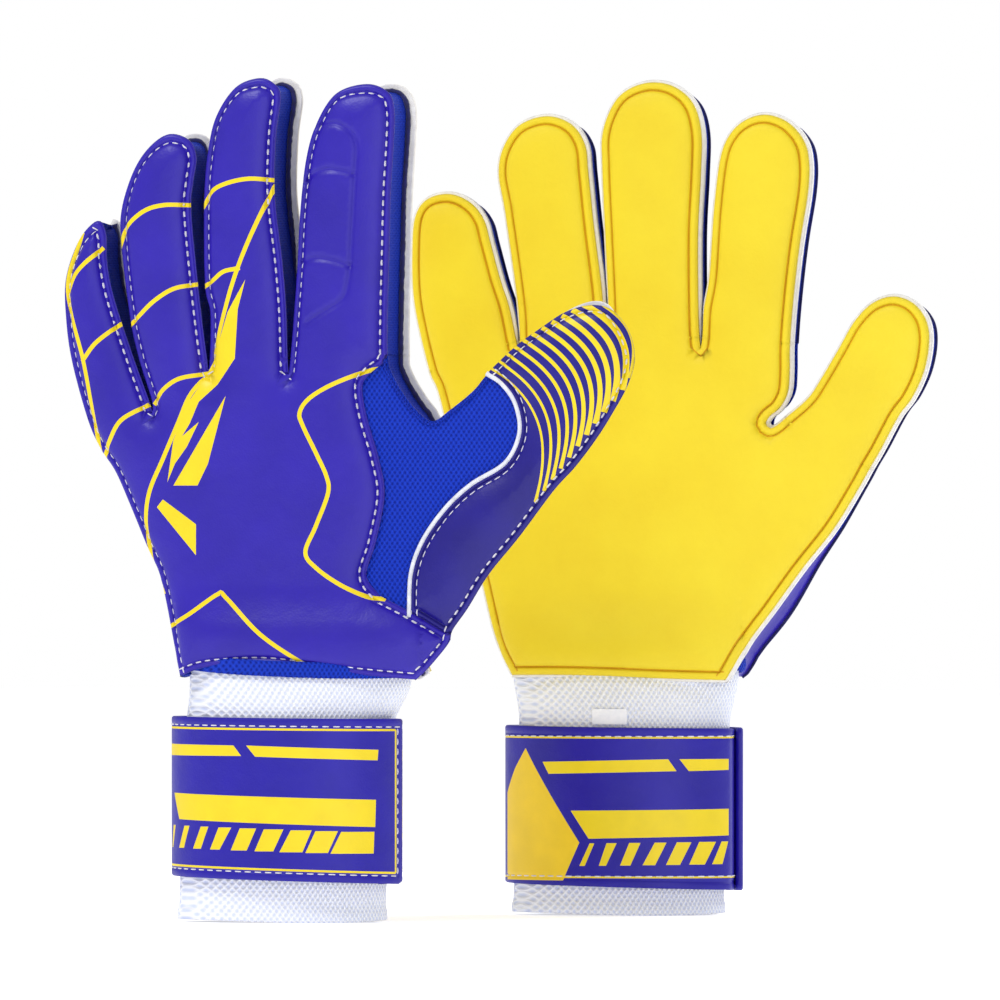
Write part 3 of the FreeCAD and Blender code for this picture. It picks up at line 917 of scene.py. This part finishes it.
# ---------------------------------------------------------------- thumb
# One piece of the same leather in a darker violet covers the thumb and its base. The thumb is
# printed with curved stripes that widen towards its tip, and its seam with the mesh is piped.
STRIPES = 12
STRIPE_STARTS = ((70.7, 176.9), (105.0, 199.5))
STRIPE_STOPS = ((84.5, 142.5), (114.8, 179.5))
STRIPE_WIDTHS = (0.8, 2.0)
PIPING_RADIUS = 0.85


def thumb_stripe(part):
    """The route of a stripe, at this part of the way to the tip."""
    start, stop = (np.add(np.multiply(a, 1 - part), np.multiply(b, part))
                   for a, b in (STRIPE_STARTS, STRIPE_STOPS))
    bulge = np.array([0.93, 0.36]) * (6.5 - 2.5 * part)
    t = np.linspace(-0.15, 1.15, 27)[:, None]
    return start * (1 - t) + stop * t + bulge * 4 * t * (1 - t)


dark_shell = synthetic_leather("dark_violet_shell", (0.008, 0.003, 0.22), (0.006, 0.002, 0.17))
white_piping = spun_thread("white_piping", (0.8, 0.82, 0.9))

for side, glove in GLOVES.items():
    edge = glove.grown("back")
    start = glove.ends["thumb"][0]
    band_seam = seam(glove, "band")
    corner = nearest_index(edge, band_seam[-1])
    piping = np.vstack([edge[start], seam(glove, "piping")[3:]])
    foot = nearest_index(band_seam, piping[-1])
    lower = np.vstack([edge[corner], band_seam[foot:-1][::-1]])
    outline = np.vstack([edge[start : corner + 1], lower[1:], piping[1:][::-1]])
    rim = segments_of(outline, True)
    face = shell_face(glove)
    inks = []
    for number in range(STRIPES):
        part = number / (STRIPES - 1)
        width = STRIPE_WIDTHS[0] + (STRIPE_WIDTHS[1] - STRIPE_WIDTHS[0]) * part
        route = drawn_for(glove, thumb_stripe(part))
        inks.append((band(route, width), 2))
    cover = cut_sheet(
        f"{side}_thumb_cover", outline, rim, face, shell_inside, glove.place,
        (dark_shell, navy_binding, yellow_ink), inks,
    )
    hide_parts(f"{side}_thumb_base_panel", f"{side}_thumb_back")
    glove.attach(cover, "thumb")
    stitches = stitch_row(
        f"{side}_thumb_stitches",
        [seam_inset(glove, edge[start : corner + 1]), seam_inset(glove, piping[::-1], 2.6)],
        on_face(glove, face, rim), white_thread,
    )
    glove.attach(stitches, "thumb")
    path = glove.place(piping, SHELL_FACE + 0.9 + wrist_swell(piping))
    cord = tube(f"{side}_thumb_piping", path, PIPING_RADIUS, white_piping)
    glove.attach(cord, "hand")

# ---------------------------------------------------------------- mesh on the back
# Between the back panel and the thumb lies a soft blue air mesh for stretch, tucked under the
# leather on both sides and sewn to the side strip along the web of the thumb.
MESH_TUCK = 1.6
MESH_FACE = 21.0


def mesh_face(at, d):
    return MESH_FACE - 0.3 + 0.9 * rounded(d, 2.5) + wrist_swell(at)


def mesh_inside(at, d):
    return MESH_FACE - 1.6 + wrist_swell(at)


def knitted(name, colour, hole, wide, tall, depth):
    """Crossing threads in a lattice of diamonds, with a darker hole in each."""
    finish = Finish(name, colour, 0.7)
    split = finish.nodes.new("ShaderNodeSeparateXYZ")
    finish.links.new(finish.where, split.inputs["Vector"])

    def math_node(operation, first, second):
        node = finish.nodes.new("ShaderNodeMath")
        node.operation = operation
        for socket, value in zip(node.inputs, (first, second)):
            if isinstance(value, float):
                socket.default_value = value
            else:
                finish.links.new(value, socket)
        return node.outputs["Value"]

    across = math_node("ADD", split.outputs["X"], split.outputs["Y"])
    across = math_node("MULTIPLY", across, math.pi / wide)
    up = math_node("MULTIPLY", split.outputs["Z"], math.pi / tall)
    one = math_node("SINE", math_node("ADD", across, up), 0.0)
    two = math_node("SINE", math_node("SUBTRACT", across, up), 0.0)
    lattice = math_node("ABSOLUTE", math_node("MULTIPLY", one, two), 0.0)
    finish.tint(lattice, colour, hole, 0.35, 0.95)
    finish.roughen(lattice, 0.6, 0.85)
    finish.emboss(math_node("SUBTRACT", 1.0, lattice), depth)
    finish.emboss(finish.noise(0.0005), 0.00008)
    finish.shader.inputs["Specular IOR Level"].default_value = 0.15
    return finish.material


air_mesh = knitted("air_mesh", (0.007, 0.04, 0.52), (0.003, 0.013, 0.24), 0.0017, 0.0024, 0.0004)

for side, glove in GLOVES.items():
    edge = glove.grown("back")
    index_end, start = glove.ends["index"][1], glove.ends["thumb"][0]
    band_seam, piping = seam(glove, "band"), seam(glove, "piping")
    foot = nearest_index(band_seam, piping[-1])
    joined = [edge[index_end : start + 1], piping[3:], band_seam[: foot + 1][::-1],
              seam(glove, "mesh")[::-1]]
    tucked = [joined[0]] + [run - rightward(run) * MESH_TUCK for run in joined[1:]]
    outline = np.vstack(tucked)
    mesh_panel = cut_sheet(
        f"{side}_mesh", outline, segments_of(outline, True), mesh_face, mesh_inside,
        glove.place, (air_mesh, air_mesh),
    )
    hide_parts(f"{side}_mesh_panel")
    glove.attach(mesh_panel, "hand")
    wide, tall = np.ptp(outline, axis=0) * MM
    area = abs(signed_area(outline)) * MM * MM

# ---------------------------------------------------------------- sides of the glove
# Strips of blue knitted mesh run round every finger and down both sides of the hand, between
# the palm and the back. They are 16.5 mm wide and fold inwards a little along their middle;
# low on the thumb side, leather faces the strip.
WALL_ROWS = 7
WALL_THICKNESS = 0.8
WALL_TUCK = 1.1
PALM_JOIN = 6.0
BACK_JOIN = 22.3
WALL_INSET = {"left": 1.7, "right": 0.5}
# The strip is cut as wide as the gap between its two seams, with its fold.
# The thumb side of the hand is faced with leather below this height.
LEATHER_BELOW = 124

gusset_mesh = knitted(
    "gusset_mesh", (0.006, 0.034, 0.46), (0.003, 0.01, 0.2), 0.0013, 0.0016, 0.0003
)


def side_wall(name, glove, palm_route, back_route):
    """A closed strip of cloth from the palm's edge to the back's edge."""
    count = len(palm_route)
    inward = rightward(palm_route)
    layers = []
    for depth in (0.0, WALL_THICKNESS):
        for row in range(WALL_ROWS):
            t = row / (WALL_ROWS - 1)
            tuck = WALL_TUCK * math.sin(math.pi * t) + depth
            at = palm_route * (1 - t) + back_route * t + inward * tuck
            swell = wrist_swell(at) * (2 * t - 1)
            w = PALM_JOIN + (BACK_JOIN - PALM_JOIN) * t + swell
            layers.append(glove.place(at, w))
    verts = np.vstack(layers)
    faces = []

    def quad(a, b, c, d, flip):
        faces.append((a, d, c, b) if flip else (a, b, c, d))

    flip = glove.side == "left"
    inner = WALL_ROWS * count
    for row in range(WALL_ROWS - 1):
        for i in range(count - 1):
            a = row * count + i
            quad(a, a + 1, a + count + 1, a + count, flip)
            b = a + inner
            quad(b, b + count, b + count + 1, b + 1, flip)
    top = (WALL_ROWS - 1) * count
    for i in range(count - 1):
        quad(i, i + inner, i + inner + 1, i + 1, flip)
        quad(top + i, top + i + 1, top + i + inner + 1, top + i + inner, flip)
    for row in range(WALL_ROWS - 1):
        a, b = row * count, row * count + count - 1
        quad(a, a + count, a + count + inner, a + inner, flip)
        quad(b, b + inner, b + count + inner, b + count, flip)
    mesh = smooth_mesh(name, verts, faces, [gusset_mesh])
    if name.endswith("radial_side"):
        mesh.materials.append(violet_shell)
        for face in mesh.polygons:
            face.material_index = int(face.center.z < LEATHER_BELOW * MM)
    return in_collection(name, mesh)


def route_length(route):
    return float(np.linalg.norm(np.diff(route, axis=0), axis=1).sum())


def as_stretched_strip(palm_route, back_route):
    """Works out a strip's length as cut, the average of the two edges it is sewn between; the
    length is not used.
    """
    length = (route_length(palm_route) + route_length(back_route)) / 2 * MM


HAND_WALLS = ("ulnar", "pinky_crotch", "ring_crotch", "middle_crotch", "web", "radial")
for side, glove in GLOVES.items():
    palm_edge = glove.grown("palm", -WALL_INSET[side])
    back_edge = glove.grown("back", -0.6)
    for finger in FINGERS:
        first, last = glove.ends[finger]
        strip = slice(first, last + 1)
        wall = side_wall(f"{side}_{finger}_side", glove, palm_edge[strip], back_edge[strip])
        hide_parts(f"{side}_{finger}_gusset")
        glove.attach(wall, finger)
        as_stretched_strip(palm_edge[strip], back_edge[strip])
    palm_runs, back_runs = glove.hand_runs(palm_edge), glove.hand_runs(back_edge)
    for place_name, palm_run, back_run in zip(HAND_WALLS, palm_runs, back_runs):
        wall = side_wall(f"{side}_{place_name}_side", glove, palm_run, back_run)
        if not place_name.endswith("crotch"):
            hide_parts(f"{side}_{place_name}_gusset")
            as_stretched_strip(palm_run, back_run)
        glove.attach(wall, "hand")

# ---------------------------------------------------------------- wrist elastic
# A tube of white knitted elastic holds the wrist. It is sewn inside the hem of the hand,
# runs down under the strap, and is turned up and stitched round its lower edge.
ELASTIC_ROWS = 64
ELASTIC_AROUND = 120
ELASTIC_WALL = 1.5
ELASTIC_TOP = 86.0
HEM_FOLD = 4.0
# How far each strap and each sleeve's foot lie off the cuff's middle, and how much the
# knitted tube gives in width.
STRAP_SHIFT = {"left": -2.0, "right": 2.2}
FOOT_SHIFT = {"left": -4.3, "right": 0.3}
GIVE = {"left": 0.6, "right": 1.6}


def elastic_size(glove, z):
    """Middle, half width and half depth of the tube at this height."""
    flare = ease((z - 62) / 16)
    give = GIVE[glove.side] * (1 - flare)
    right = glove.half_width + give + (5.0 if glove.side == "left" else 7.0) * flare
    left = glove.half_width + give + 1.2 * flare
    foot, strap = FOOT_SHIFT[glove.side], STRAP_SHIFT[glove.side]
    shift = (foot + (strap - foot) * ease(z / 50)) * (1 - flare)
    depth = glove.half_depth - 3.2 * ease((z - 66) / 18)
    folded = 0.5 * ease((HEM_FOLD - z) / 0.6 + 0.5)
    return (right - left) / 2 + shift, (right + left) / 2 + folded, depth + folded


white_elastic = knitted(
    "white_elastic", (0.9, 0.92, 0.99), (0.64, 0.7, 0.9), 0.0021, 0.0026, 0.0004
)
angles = np.arange(ELASTIC_AROUND) * 2 * math.pi / ELASTIC_AROUND


def elastic_ring(glove, z, lift):
    middle, wide, deep = elastic_size(glove, z)
    ripple = 0.25 * np.sin(3 * angles + z / 9) + 0.12 * np.sin(7 * angles - z / 5)
    ripple *= ease((z - 60) / 10) + 0.4
    drop = 0.5 * np.sin(2 * angles + 0.6) * (1 - ease(z / 12))
    x = glove.centre.x + (middle + (wide + lift + ripple) * np.cos(angles)) * MM
    y = glove.centre.y + (deep + lift + ripple) * np.sin(angles) * MM
    return np.column_stack([x, y, (z + 0.5 + drop) * MM])


def closed_rings(name, rings, material):
    """Skins a closed loop of rings: the last is joined to the first."""
    verts = np.vstack(rings)
    faces = []
    for i in range(len(rings)):
        for k in range(ELASTIC_AROUND):
            a, b = i * ELASTIC_AROUND + k, i * ELASTIC_AROUND + (k + 1) % ELASTIC_AROUND
            after = ((i + 1) % len(rings)) * ELASTIC_AROUND - i * ELASTIC_AROUND
            faces.append((a, b, b + after, a + after))
    return in_collection(name, smooth_mesh(name, verts, faces, [material]))


for side, glove in GLOVES.items():
    heights = [ELASTIC_TOP * i / (ELASTIC_ROWS - 1) for i in range(ELASTIC_ROWS)]
    rings = [elastic_ring(glove, z, 0) for z in heights]
    rings += [elastic_ring(glove, z, -ELASTIC_WALL) for z in heights[::-1]]
    elastic = closed_rings(f"{side}_wrist_elastic", rings, white_elastic)
    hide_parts(f"{side}_cuff_sleeve")
    low = Vector((glove.centre.x, glove.centre.y, 0.067))
    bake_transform(elastic)

# ---------------------------------------------------------------- hem lining
# Inside the lower edge of the hand a rolled lip of the blue mesh lies over the elastic and
# shows below the leather on the back.
LIP_HEIGHT = 81.0
LIP_RADIUS = 2.7
LIP_SIDES = 10

for side, glove in GLOVES.items():
    rings = []
    for k in range(LIP_SIDES):
        turn = 2 * math.pi * k / LIP_SIDES
        ring = elastic_ring(glove, LIP_HEIGHT, 1.4 + 1.1 * math.cos(turn))
        back = np.sin(angles) * glove.back_way
        ring[:, 2] += (LIP_RADIUS * math.sin(turn) + 2.2 - 1.8 * back) * MM
        ring[:, 2] -= 0.035 * (ring[:, 0] - glove.centre.x)
        rings.append(ring)
    lip = closed_rings(f"{side}_hem_lip", rings, air_mesh)
    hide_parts(f"{side}_hem_band")
    glove.attach(lip, "hand")

# ---------------------------------------------------------------- wrist strap
# A broad strap of the dark leather closes the cuff. Its sewn half goes round the palm side;
# its free half folds over the back, onto loop pile, and holds by a patch of hooks. Both halves
# are printed in yellow and sewn round in white over a yellow line.
STRAP_SEAM = 2.6
FLAP_SHORT = 1.5
STRAP_OUT = 4.5
# How much each strap's edges rise towards the fold, and the free half's towards its end.
FOLD_LOW_RISE, FOLD_HIGH_RISE, END_HIGH_RISE = 2.6, 1, 0.3
SEWN_OVERRUN = 9


class Girth:
    """Lengths and places round the cuff, on its back or its palm side."""

    def __init__(self, glove, way):
        self.glove, self.way = glove, way
        self.half_width = glove.half_width + GIVE[glove.side]
        self.turn = np.linspace(-math.pi, math.pi, 721)
        x = self.half_width * np.sin(self.turn)
        y = glove.half_depth * np.cos(self.turn)
        steps = np.hypot(np.diff(x), np.diff(y))
        self.length = np.concatenate([[0], np.cumsum(steps)])
        self.length -= self.length[360]

    def along(self, x):
        """Length round the cuff to where its outer face is x from the middle."""
        turn = math.asin(max(-1.0, min(1.0, x / (self.half_width + STRAP_OUT))))
        return float(np.interp(turn, self.turn, self.length))

    def flat(self, points):
        return np.array([(self.along(x), z) for x, z in points])

    def place(self, at, lift):
        glove = self.glove
        turn = np.interp(at[:, 0], self.length, self.turn)
        sine, cosine = np.sin(turn), np.cos(turn)
        out = np.column_stack([sine / self.half_width, cosine / glove.half_depth])
        out /= np.linalg.norm(out, axis=1)[:, None]
        x = self.half_width * sine + lift * out[:, 0]
        y = glove.half_depth * cosine + lift * out[:, 1]
        x = glove.centre.x + (x + STRAP_SHIFT[glove.side]) * MM
        y = glove.centre.y + self.way * y * MM
        return np.column_stack([x, y, at[:, 1] * MM])


BACK_PRINT = {
    "bars": [
        [(-38, 57.6), (-13.3, 57.3), (-10.5, 53.9), (-38, 53.9)],
        [(-8.7, 57.3), (33.6, 55.9), (33.4, 52.5), (-5.5, 53.7)],
        [(-36.2, 41.8), (33, 39.8), (32.8, 31), (-34, 33.3)],
    ],
    "steps": [(-36.6, -35.6, -36.8, -37.3), (-31.9, -29.9, -32.1, -34.1),
              (-25.5, -22.6, -25.5, -28.5), (-18.8, -14.1, -18.4, -22), (-11, -5.1, -8.5, -14.3),
              (-2.4, 4.4, 0.9, -5.7), (6.9, 13.9, 10.8, 3), (15.1, 22.2, 19.1, 11.8),
              (23.2, 32.6, 32.4, 19.9)],
    "step_heights": ((31.4, 29.2), (24.2, 22.2)),
}
PALM_PRINT = {
    "bars": [
        [(-24.1, 50.2), (20.8, 51.2), (23.5, 47.3), (-21.8, 46.3)],
        [(24.4, 51.2), (38, 51.2), (38, 47.6), (27.3, 47.3)],
        [(-13.4, 34.3), (38, 34.9), (38, 26.2), (-6.8, 25.2)],
    ],
    "steps": [(-6.4, -4.7, -8.2, -10.2), (-0.3, 3.3, -0.5, -3.1), (7.7, 11.6, 8.1, 4.5),
              (16.4, 20.3, 16.5, 12.3), (23.6, 28.1, 24.6, 20.1), (30.4, 35, 32, 27.4),
              (36.4, 37.9, 36.6, 34)],
    "step_heights": ((23.3, 24.2), (15.9, 16.8)),
}
WEDGE = [(-30.8, 54.6), (-10.2, 23.9), (-16.3, 11.5), (-38, 11.5), (-38, 40), (-35, 48)]


def print_on(girth, motif, lift):
    """The bars and the row of slanted steps, raised by lift to suit this strap."""
    shapes = [girth.flat([(x, z + lift) for x, z in bar]) for bar in motif["bars"]]
    (top_left, top_right), (low_left, low_right) = motif["step_heights"]
    for upper_left, upper_right, lower_right, lower_left in motif["steps"]:
        part = (upper_left + 37) / 70
        top = top_left + (top_right - top_left) * part + lift
        low = low_left + (low_right - low_left) * part + lift
        corners = [(upper_left, top), (upper_right, top), (lower_right, low), (lower_left, low)]
        shapes.append(girth.flat(corners))
    return shapes


def strap_outline(start, stop, left, right, corner):
    """A strap from start to stop, its ends' heights, and rounded corners at its free end."""
    (left_low, left_high), (right_low, right_high) = left, right
    points = [(start, left_low), (start, left_high)]
    turns = np.linspace(0, math.pi / 2, 7)
    for centre_z, signs in ((right_high - corner, 1), (right_low + corner, -1)):
        arc = [(stop - corner + corner * math.sin(t), centre_z + signs * corner * math.cos(t))
               for t in turns]
        points += arc if signs > 0 else arc[::-1]
    return subdivided(np.array(points))


strap_shell = synthetic_leather("strap_shell", (0.011, 0.003, 0.34), (0.008, 0.002, 0.28))
amber_ink = rubber_ink("amber_ink", (0.88, 0.6, 0.008))
loop_pile = brushed_cloth("loop_pile", (0.6, 0.62, 0.7), (0.45, 0.47, 0.56))
hook_tape = brushed_cloth("hook_tape", (0.03, 0.025, 0.16), (0.015, 0.012, 0.09))


def strap_face(base, left_end=None):
    def height(at, d):
        rise = base + 0.5 * rounded(d, 0.9) - 0.3 * groove(d, STRAP_SEAM, 0.5)
        if left_end is not None:
            rise = rise + (STRAP_OUT - 0.5 - base) * ease((left_end + 14 - at[:, 0]) / 14)
            rise = rise - 1.9 * ease((at[:, 0] + left_end + 6) / 6)
        return rise

    return height


def flat_lift(lift):
    def height(at, d):
        return np.full(len(at), lift)

    return height


LINE_BESIDE_SEAM = 0.7


def free_half_lines(inset, low, high):
    """Lines along the top, free end and bottom of the free half, inset from its edge."""
    start, stop = -quarter + 0.5, free_end - inset
    corners = [(start, high + FOLD_HIGH_RISE - inset), (stop, high + END_HIGH_RISE - inset),
               (stop, low + inset), (start, low + FOLD_LOW_RISE + inset)]
    return [straight_route(a, b) for a, b in zip(corners, corners[1:])]


for side, glove in GLOVES.items():
    low_box, high_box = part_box(f"{side}_strap_flap")
    low, high = low_box.z / MM, high_box.z / MM
    lift = low - 12.5
    back_girth = Girth(glove, glove.back_way)
    palm_girth = Girth(glove, -glove.back_way)
    quarter = back_girth.along(back_girth.half_width + STRAP_OUT)
    free_end = quarter - FLAP_SHORT

    fold_ends = (low + FOLD_LOW_RISE, high + FOLD_HIGH_RISE)
    outline = strap_outline(-quarter, free_end, fold_ends, (low, high + END_HIGH_RISE), 2.0)
    rim = segments_of(outline, True)
    inks = [(shape, 2) for shape in print_on(back_girth, BACK_PRINT, lift)]
    inks += [(band(line, LINE_BESIDE_SEAM), 2) for line in free_half_lines(3.6, low, high)]
    face = strap_face(STRAP_OUT - 0.5)
    flap = cut_sheet(
        f"{side}_strap_free_half", outline, rim, face, flat_lift(2.1), back_girth.place,
        (strap_shell, strap_shell, yellow_ink), inks,
    )
    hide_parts(f"{side}_strap_flap")
    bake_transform(flap)
    stitches = stitch_row(
        f"{side}_strap_free_stitches", free_half_lines(STRAP_SEAM, low, high),
        lambda at, lifts: back_girth.place(at, face(at, distance(at, rim)) + lifts),
        white_thread, 0.9,
    )
    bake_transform(stitches)

    outline = strap_outline(-quarter, quarter + SEWN_OVERRUN, fold_ends, (low, high), 1.0)
    rim = segments_of(outline, True)
    inks = [(shape, 2) for shape in print_on(palm_girth, PALM_PRINT, low - 8.0)]
    wedge = palm_girth.flat([(x, z + low - 8.0) for x, z in WEDGE])
    inks.append((wedge, 3))
    for height in (low + 4.6, high - 2.8):
        line = straight_route((-quarter, height), (quarter + SEWN_OVERRUN, height))
        inks.append((band(line, 0.6), 2))
    face = strap_face(3.1, -quarter)
    wrap = cut_sheet(
        f"{side}_strap_sewn_half", outline, rim, face, flat_lift(0.2), palm_girth.place,
        (strap_shell, strap_shell, yellow_ink, amber_ink), inks,
    )
    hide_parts(f"{side}_strap_wrap")
    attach(wrap, f"{side}_cuff")
    rows = [straight_route((-quarter + 1, z), (quarter + 8, z)) for z in (low + 4.9, high - 2.4)]
    stitches = stitch_row(
        f"{side}_strap_sewn_stitches", rows,
        lambda at, lifts: palm_girth.place(at, face(at, distance(at, rim)) + lifts),
        white_thread, 0.9,
    )
    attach(stitches, f"{side}_cuff")

    for kind, body, reach, levels, cloth in (
        ("loop_patch", "cuff", (-26, 24), (0.1, 0.9), loop_pile),
        ("hook_patch", "strap", (-4, 24), (1.1, 2.05), hook_tape),
    ):
        start, stop = (back_girth.along(x) for x in reach)
        outline = strap_outline(start, stop, (low + 4, high - 4), (low + 4, high - 4), 2.0)
        patch = cut_sheet(
            f"{side}_{kind}_cloth", outline, segments_of(outline, True),
            flat_lift(levels[1]), flat_lift(levels[0]), back_girth.place, (cloth, cloth),
        )
        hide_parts(f"{side}_{kind}")
        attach(patch, f"{side}_{body}")

# ---------------------------------------------------------------- size label
# A small blank woven label is sewn on the palm side of the right cuff, just above the strap.
glove = GLOVES["right"]
label_low, label_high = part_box("right_size_label")
girth = Girth(glove, -glove.back_way)
start, stop = (girth.along((x - glove.centre.x) / MM) for x in (label_low.x, label_high.x))
span = (label_low.z / MM, label_high.z / MM)
outline = strap_outline(start, stop, span, span, 0.5)
woven_label = brushed_cloth("woven_label", (0.9, 0.91, 0.97), (0.82, 0.84, 0.92))
label = cut_sheet(
    "right_label", outline, segments_of(outline, True), flat_lift(0.9), flat_lift(0.4),
    girth.place, (woven_label, woven_label),
)
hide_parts("right_size_label")
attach(label, "right_cuff")

# ---------------------------------------------------------------- studio
# A white floor in a white room, a wide soft light from above the front left, a low fill, and
# a far camera turned a little to the right of the gloves.
VIEW_TURN = math.radians(13.5)
VIEW_LIFT = math.radians(0.3)
CAMERA_DISTANCE = 9.0
FRAME_WIDTH = 0.325
FRAME_MIDDLE = Vector((-0.0023, 0.0, 0.136))


def floor():
    half = 6.0
    corners = [(-half, -half, 0), (half, -half, 0), (half, half, 0), (-half, half, 0)]
    mesh = bpy.data.meshes.new("floor")
    mesh.from_pydata(corners, [], [(0, 1, 2, 3)])
    paint = Finish("floor_white", (0.95, 0.95, 0.96), 0.9)
    paint.shader.inputs["Specular IOR Level"].default_value = 0.1
    paint.shader.inputs["Emission Color"].default_value = (1, 1, 1, 1)
    paint.shader.inputs["Emission Strength"].default_value = 0.45
    mesh.materials.append(paint.material)
    in_collection("floor", mesh)


def soft_light(name, place, aim, width, power):
    lamp = bpy.data.lights.new(name, "AREA")
    lamp.shape = "DISK"
    lamp.size = width
    lamp.energy = power
    holder = in_collection(name, lamp)
    holder.location = place
    holder.rotation_euler = (Vector(aim) - Vector(place)).to_track_quat("-Z", "Y").to_euler()


floor()
world = bpy.data.worlds.new("white_room")
world.use_nodes = True
room = world.node_tree.nodes["Background"]
room.inputs["Color"].default_value = (1, 1, 1, 1)
seen = world.node_tree.nodes.new("ShaderNodeLightPath").outputs["Is Camera Ray"]
glow = world.node_tree.nodes.new("ShaderNodeMapRange")
glow.inputs["To Min"].default_value = 0.6
glow.inputs["To Max"].default_value = 1.0
world.node_tree.links.new(seen, glow.inputs["Value"])
world.node_tree.links.new(glow.outputs["Result"], room.inputs["Strength"])
bpy.context.scene.world = world
bpy.context.scene.view_settings.view_transform = "Standard"
soft_light("key", (-0.55, -0.9, 1.5), (0, 0, 0.15), 0.55, 13)
soft_light("fill", (0.8, -1.5, 0.4), (0, 0, 0.14), 0.9, 3)
soft_light("back", (0.9, 1.3, 1.1), (0, 0, 0.14), 0.8, 14)
camera = bpy.data.cameras.new("camera")
camera.sensor_width = 36
camera.lens = camera.sensor_width * CAMERA_DISTANCE / FRAME_WIDTH
camera.clip_start, camera.clip_end = 0.5, 60
towards = Vector((
    math.sin(VIEW_TURN) * math.cos(VIEW_LIFT),
    -math.cos(VIEW_TURN) * math.cos(VIEW_LIFT),
    math.sin(VIEW_LIFT),
))
eye = in_collection("camera", camera)
eye.location = FRAME_MIDDLE + towards * CAMERA_DISTANCE
eye.rotation_euler = towards.to_track_quat("Z", "Y").to_euler()
bpy.context.scene.camera = eye
